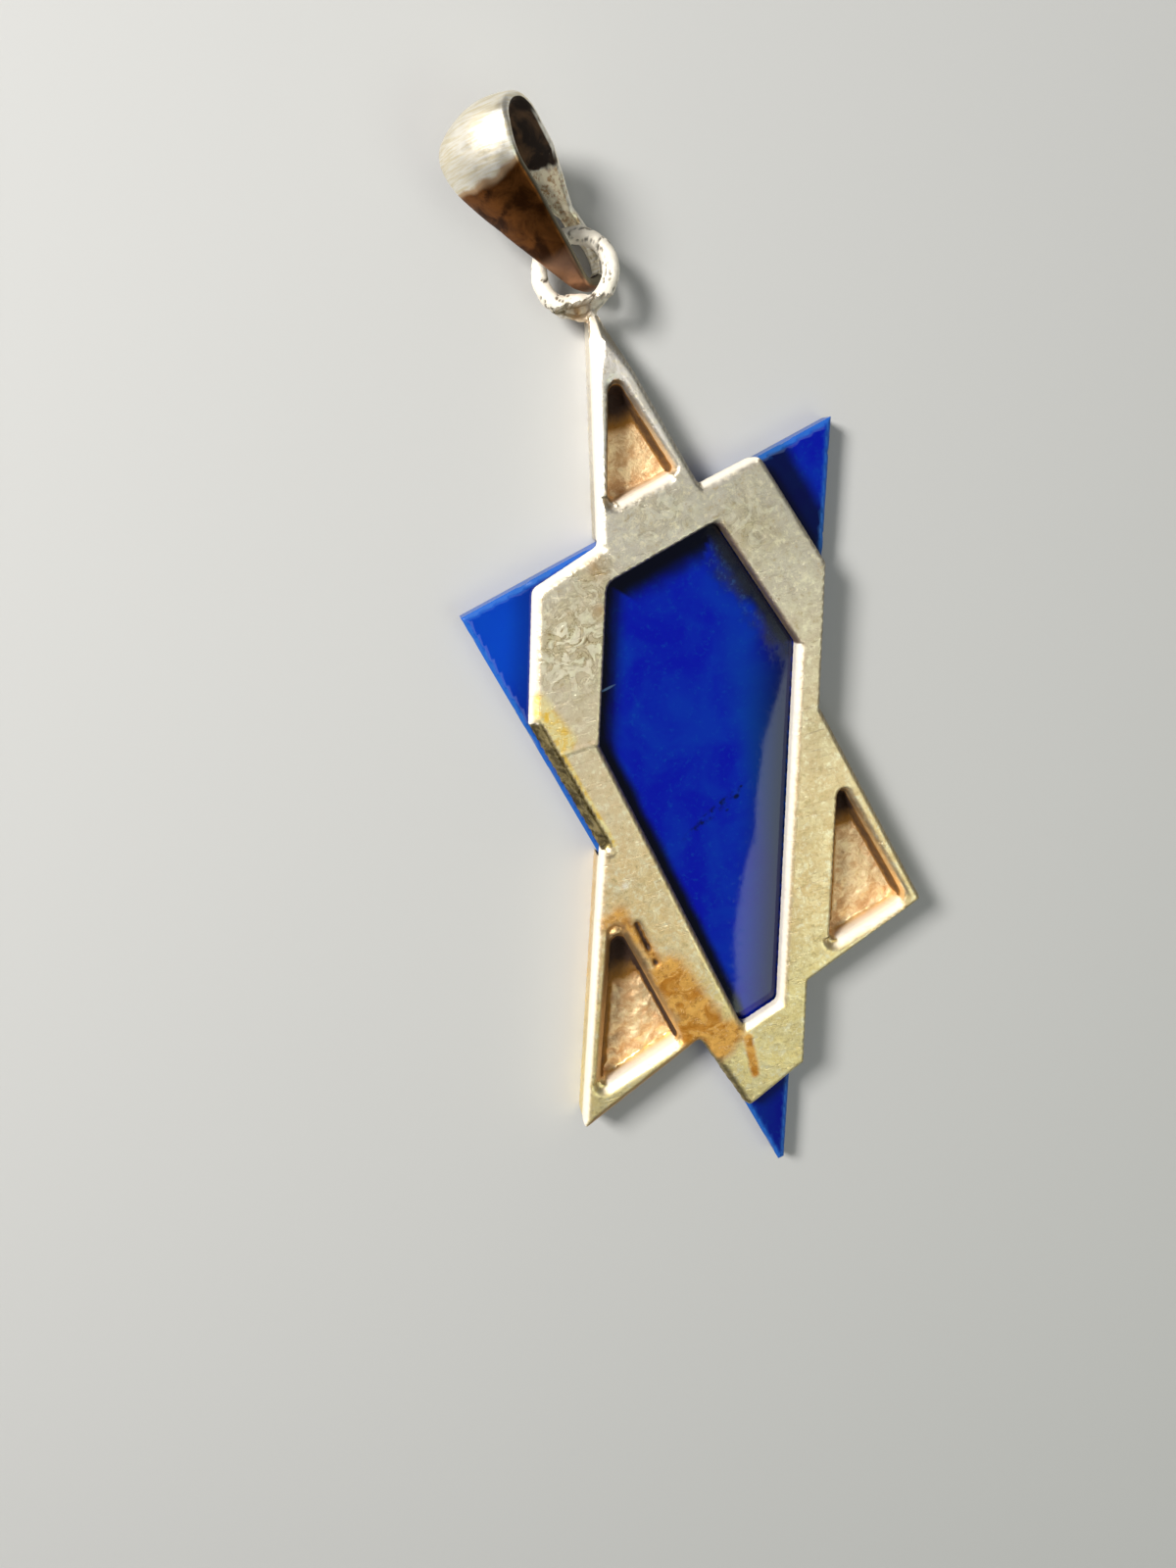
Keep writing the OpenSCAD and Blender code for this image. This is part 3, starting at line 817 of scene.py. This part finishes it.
def bail():
    section = strap_section()
    grid = strap_points(section)
    rows, columns = grid.shape[:2]
    local = grid.reshape(-1, 3)
    points = np.array(FOLD_CENTRE) + local @ bail_axes()
    index = np.arange(rows * columns).reshape(rows, columns)
    after = np.roll(index, -1, axis=0)
    faces = np.stack([index, after, np.roll(after, -1, axis=1), np.roll(index, -1, axis=1)], axis=-1)
    mesh = bpy.data.meshes.new("folded_bail")
    mesh.from_pydata(points.tolist(), [], faces.reshape(-1, 4).tolist())
    mesh.update()

    # The strap is a little uneven, and coarse inside its back leg
    along = local[:, 1]
    front = (local[:, 2] > 0) * 1.0
    outside = np.tile([depth > 0.35 for _, depth, _ in section], rows) * 1.0
    inside = 1 - outside
    coarse = inside * (local[:, 2] < 0) * (along < COARSE_END)
    push = 0.02 * fractal(points, 1.8, 2, 3.0) + (0.005 + 0.035 * coarse) * fractal(points, 0.35, 3)
    points += mesh_normals(mesh) * (push - 0.012)[:, None]
    set_points(mesh, points)

    # Marks for the finish: a brown front that is a painted dark reflection, a gravelly inside, painted
    # shade inside the loop, a dark rim in front that is painted shade and a bright one behind that is a
    # painted highlight
    border = REFLECTION_END + 0.25 * fractal(points, 1.4, 3, 4.0)
    wander = along + 0.5 * fractal(points, 1.0, 3, 9.0)
    rim = np.tile([(over > 0.5) * 1.0 for _, _, over in section], rows)
    # Painted highlight on the back leg's edges
    back_edge_highlight = np.tile([(over > 0.2) * 1.0 for _, _, over in section], rows) * (1 - front)
    back_edge_highlight *= smoothstep(0.3, 0.8, along) * smoothstep(5.4, 4.6, along)
    marks = {
        # Painted dark reflection on the front leg
        "front_reflection": front * outside * (1 - smoothstep(-0.5, 0.35, along - border)),
        "pink": 0.7 * front * outside * (1 - smoothstep(0.8, 1.4, along)),
        "gravel": inside * (1 - front) * (1 - smoothstep(2.9, 3.5, wander)) * smoothstep(0.3, 0.8, along),
        # Painted shade inside the loop
        "darkening": inside * np.maximum(smoothstep(2.9, 3.6, wander), front),
        # Painted shade on the front leg's edges
        "rim": rim * front * (1 - smoothstep(4.6, 5.4, along)),
        # Painted highlight on the back leg's edges
        "back_edge_highlight": back_edge_highlight * smoothstep(-0.5, 0.2, fractal(points, 0.6, 2))
    }
    finish_piece("folded_bail", mesh, "bail", bail_gold(), marks)


# The slab of lapis

STONE_BEVEL = 0.24
STONE_CELL = 0.16

# Insets and heights of the stone's outline, from the face that lies on the floor up
STONE_LEVELS = [
    (0.05, 0.0), (0.01, 0.05), (0.01, STONE_TOP - 0.14), (0.08, STONE_TOP - 0.05), (STONE_BEVEL, STONE_TOP)
]

# The face is sunk a hair but for one place, which bounds its reflection: the place, its radius, the depth
FACE_HIGH = (6.4, 4.6)
FACE_HIGH_R = 4.6
FACE_SUNK = 0.04

# How far the plate's shade reaches over the stone from each edge of the window, from each corner on
SHADE_REACH = np.array([1.7, 0.9, 0.0, 0.0, 0.7, 0.7])

# The two ends of lines along the window's right side, and the corner of the stone with painted light
SHADE_LINE = ((5.5, 4.6), WINDOW[3])
GLUE_LINE = ((3.3, 10.3), (5.3, 5.4))
PAINTED_LIGHT_CORNER = (-6.8, 8.4)


def slab_mesh():
    """The slab with bevelled edges, cut into even cells."""
    shape = bmesh.new()
    rings = [[shape.verts.new((*p, z)) for p in moved_in(STONE, inset)] for inset, z in STONE_LEVELS]
    shape.faces.new(rings[0])
    shape.faces.new(rings[-1][::-1])
    for low, high in zip(rings, rings[1:]):
        for k in range(len(low)):
            after = (k + 1) % len(low)
            shape.faces.new((low[after], low[k], high[k], high[after]))
    start, end = np.min(STONE, axis=0), np.max(STONE, axis=0)
    for axis in (0, 1):
        normal = Vector((axis == 0, axis == 1, 0))
        for place in np.arange(start[axis] + STONE_CELL, end[axis], STONE_CELL):
            everything = shape.verts[:] + shape.edges[:] + shape.faces[:]
            bmesh.ops.bisect_plane(
                shape, geom=everything, dist=WELD, plane_co=normal * place, plane_no=normal
            )
    bmesh.ops.recalc_face_normals(shape, faces=shape.faces)
    mesh = bpy.data.meshes.new("lapis_slab")
    shape.to_mesh(mesh)
    shape.free()
    return mesh


def lapis_slab():
    mesh = slab_mesh()

    # Small chips along the edges, and a face that isn't quite flat
    points = mesh_points(mesh)
    normals = mesh_normals(mesh)
    rim, _ = edge_distance(points, STONE)
    chips = np.maximum(0, fractal(points, 0.8, 4, 3.0) - 0.2) * smoothstep(-0.35, -0.02, rim)
    chips *= smoothstep(0.5, 1.0, points[:, 2])
    points -= normals * (0.12 * chips)[:, None]
    uneven = 0.010 * (1 + fractal(points, 5.0, 2, 5.0)) * smoothstep(1.15, 1.19, points[:, 2])
    sunk = FACE_SUNK * (1 - near(points, FACE_HIGH, FACE_HIGH_R)) * smoothstep(1.0, 1.14, points[:, 2])
    points[:, 2] -= uneven + sunk
    set_points(mesh, points)

    # Painted shade: the plate's shade inside the window and beside the frame on the right and on the left,
    # and shade over the stone's lower tip
    x, y = points[:, 0], points[:, 1]
    window, side = edge_distance(points, WINDOW)
    in_window = window < 0.1
    reach = SHADE_REACH[side] * (1 + 0.2 * fractal(points, 1.2, 3))
    shade = smoothstep(1, 0.35, -window / np.maximum(reach, 0.01)) * in_window * (reach > 0.1)
    right_shade = 0.9 * in_window * along_line(points, *SHADE_LINE, 2.4)
    outer, _ = edge_distance(points, FRAME)
    beyond = outer > -0.1
    beside = 0.9 * beyond * (x > 4) * smoothstep(1.7, 1.0, outer + 0.15 * fractal(points, 1.2, 2))
    left_shade = 0.4 * beyond * (x < -4) * smoothstep(1.2, 0.1, outer)
    shade = np.maximum.reduce([shade, right_shade, beside, left_shade, 0.45 * (y < -15)])

    glue = along_line(points, *GLUE_LINE, 1.7) * (0.6 + 0.5 * fractal(points, 0.8, 3, 2.0))
    marks = {
        "shade": shade, "glue": glue * (window < 0),
        "ground": smoothstep(-STONE_BEVEL - 0.03, -STONE_BEVEL + 0.05, rim),
        # Painted light on the stone's left corner, outside the window
        "light": near(points, PAINTED_LIGHT_CORNER, 5.5) * (window > 0)
    }
    finish_piece("lapis_slab", mesh, "lapis_triangle", lapis(), marks)


star_frame()
bail()
lapis_slab()

# Camera at the photograph's viewing angle: its place in millimetres, then its right and backward directions
CAMERA_PLACE = (-9.29, 15.38, 48.26)
camera_data = bpy.data.cameras.new("camera")
camera_data.sensor_fit = "VERTICAL"
camera_data.sensor_height = 36.0
camera_data.sensor_width = 27.0
camera_data.lens = 25.875
camera_data.clip_start = 0.001
camera = bpy.data.objects.new("camera", camera_data)
right = Vector((0.9569, -0.2383, 0.1660))
back = Vector((-0.0948, 0.2837, 0.9542))
turned = Matrix((right, back.cross(right), back)).transposed().to_4x4()
camera.matrix_world = Matrix.Translation(Vector(CAMERA_PLACE) * MM) @ turned
bpy.context.scene.collection.objects.link(camera)
bpy.context.scene.camera = camera

# Plain pale floor, its sizes in metres
FLOOR_HALF = 0.6
floor_mesh = bpy.data.meshes.new("floor")
floor_corners = [(x * FLOOR_HALF, y * FLOOR_HALF, 0) for x, y in ((-1, -1), (1, -1), (1, 1), (-1, 1))]
floor_mesh.from_pydata(floor_corners, [], [(0, 1, 2, 3)])
floor_look = Look("pale_floor")
floor_look.surface.inputs["Base Color"].default_value = (0.52, 0.52, 0.51, 1)
floor_look.surface.inputs["Roughness"].default_value = 0.85
floor_mesh.materials.append(floor_look.material)
floor = bpy.data.objects.new("floor", floor_mesh)
bpy.context.scene.collection.objects.link(floor)


def soft_light(name, place, size, power, colour, turn=None):
    """A soft light, in millimetres, that faces the pendant or, with a turn in degrees, straight down."""
    data = bpy.data.lights.new(name, "AREA")
    data.shape = "RECTANGLE"
    data.size = size[0] * MM
    data.size_y = size[1] * MM
    data.energy = power
    data.color = colour
    light = bpy.data.objects.new(name, data)
    light.location = Vector(place) * MM
    if turn is None:
        light.rotation_euler = Vector(place).to_track_quat("Z", "Y").to_euler()
    else:
        light.rotation_euler = (0, 0, math.radians(turn))
    bpy.context.scene.collection.objects.link(light)


soft_light("key", (-126, 122, 138), (60, 60), 0.66, (1.0, 0.98, 0.95))
soft_light("side", (86, -77, 150), (100, 92), 0.066, (0.90, 0.99, 0.83), turn=-17.5)
soft_light("top", (-38, -25, 150), (52, 90), 0.021, (1.0, 0.98, 0.93), turn=0)
soft_light("high", (28, 45, 150), (70, 60), 0.011, (1.0, 0.98, 0.96), turn=0)
world = bpy.data.worlds.new("studio")
world.use_nodes = True
background = world.node_tree.nodes["Background"]
background.inputs["Color"].default_value = (0.90, 0.93, 1.0, 1)
background.inputs["Strength"].default_value = 0.15
bpy.context.scene.world = world
bpy.context.scene.view_settings.view_transform = "Standard"
